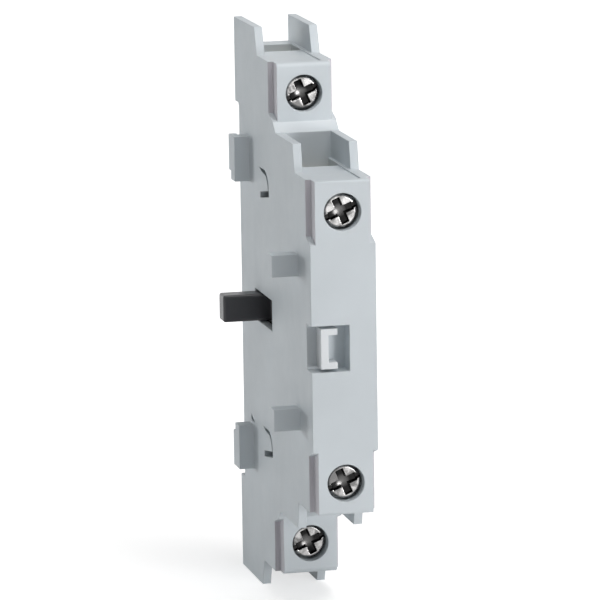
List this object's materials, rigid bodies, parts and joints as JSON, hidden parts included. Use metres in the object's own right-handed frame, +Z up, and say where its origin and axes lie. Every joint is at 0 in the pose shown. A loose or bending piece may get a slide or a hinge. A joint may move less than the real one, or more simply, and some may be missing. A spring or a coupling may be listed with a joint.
{
  "type": "auxiliary contact block",
  "caption": "Slim side-mounted contact block with stepped terminal tiers, prongs beside wire entries, hooks and a sliding lever on its flank.",
  "frame": {"origin": "middle of the mating flank, at mid height", "axes": "+X from the mating flank into the block, -Y out of the front with the screws, +Z up"},
  "size_m": [0.0143, 0.045, 0.079],
  "materials": {
    "moulding": "light grey moulded plastic, fine matte",
    "marker": "off-white moulded plastic",
    "slide": "black moulded plastic, satin",
    "screw": "bright nickel plated steel",
    "cage": "yellow-grey zinc plated steel",
    "strip": "rolled brass strip",
    "tip": "silver contact rivet",
    "spring": "drawn steel wire"
  },
  "bodies": {
    "housing": {"housing": "moulding", "side_cover": "moulding", "marker_clip": "marker", "spring_return": "spring", "strip_rear_upper": "strip", "strip_rear_lower": "strip", "strip_front_upper": "strip", "strip_front_lower": "strip", "tip_rear_upper": "tip", "tip_rear_lower": "tip", "tip_front_upper": "tip", "tip_front_lower": "tip"},
    "slide": {"actuator_slide": "slide", "spring_opening": "spring", "spring_closing": "spring"},
    "bridge_opening": {"bridge_opening": "strip", "tips_opening": "tip"},
    "bridge_closing": {"bridge_closing": "strip", "tips_closing": "tip"},
    "screw_rear_upper": {"screw_rear_upper": "screw"},
    "cage_rear_upper": {"cage_rear_upper": "cage"},
    "screw_rear_lower": {"screw_rear_lower": "screw"},
    "cage_rear_lower": {"cage_rear_lower": "cage"},
    "screw_front_upper": {"screw_front_upper": "screw"},
    "cage_front_upper": {"cage_front_upper": "cage"},
    "screw_front_lower": {"screw_front_lower": "screw"},
    "cage_front_lower": {"cage_front_lower": "cage"}
  },
  "joints": [
    {"name": "lever_slide", "type": "slide", "parent": "housing", "child": "slide", "axis": [0, -1, 0], "range_m": [0, 0.0065], "stiffness_N_per_m": 120, "springref_m": -0.006, "deforming": ["spring_return"]},
    {"name": "opening_bridge_slide", "type": "slide", "parent": "slide", "child": "bridge_opening", "axis": [0, -1, 0], "range_m": [0, 0.0012], "stiffness_N_per_m": 250, "springref_m": -0.002, "deforming": ["spring_opening"]},
    {"name": "closing_bridge_slide", "type": "slide", "parent": "slide", "child": "bridge_closing", "axis": [0, 1, 0], "range_m": [0, 0.0012], "stiffness_N_per_m": 250, "springref_m": -0.002, "deforming": ["spring_closing"]},
    {"name": "cage_rise_rear_upper", "type": "slide", "parent": "housing", "child": "cage_rear_upper", "axis": [0, -1, 0], "range_m": [0, 0.0038]},
    {"name": "screw_turn_rear_upper", "type": "hinge", "parent": "housing", "child": "screw_rear_upper", "pos_m": [0.0045, -0.001, 0.03145], "axis": [0, 1, 0], "range_deg": [0, 2736.1]},
    {"name": "cage_rise_rear_lower", "type": "slide", "parent": "housing", "child": "cage_rear_lower", "axis": [0, -1, 0], "range_m": [0, 0.0038]},
    {"name": "screw_turn_rear_lower", "type": "hinge", "parent": "housing", "child": "screw_rear_lower", "pos_m": [0.0045, -0.001, -0.03145], "axis": [0, 1, 0], "range_deg": [0, 2736.1]},
    {"name": "cage_rise_front_upper", "type": "slide", "parent": "housing", "child": "cage_front_upper", "axis": [0, -1, 0], "range_m": [0, 0.0038]},
    {"name": "screw_turn_front_upper", "type": "hinge", "parent": "housing", "child": "screw_front_upper", "pos_m": [0.0045, -0.0225, 0.0184], "axis": [0, 1, 0], "range_deg": [0, 2736.1]},
    {"name": "cage_rise_front_lower", "type": "slide", "parent": "housing", "child": "cage_front_lower", "axis": [0, -1, 0], "range_m": [0, 0.0038]},
    {"name": "screw_turn_front_lower", "type": "hinge", "parent": "housing", "child": "screw_front_lower", "pos_m": [0.0045, -0.0225, -0.0184], "axis": [0, 1, 0], "range_deg": [0, 2736.1]}
  ],
  "couplings": [
    {"joint": "screw_turn_rear_upper", "follows": "cage_rise_rear_upper", "rad_per_m": 12566},
    {"joint": "screw_turn_rear_lower", "follows": "cage_rise_rear_lower", "rad_per_m": 12566},
    {"joint": "screw_turn_front_upper", "follows": "cage_rise_front_upper", "rad_per_m": 12566},
    {"joint": "screw_turn_front_lower", "follows": "cage_rise_front_lower", "rad_per_m": 12566}
  ]
}
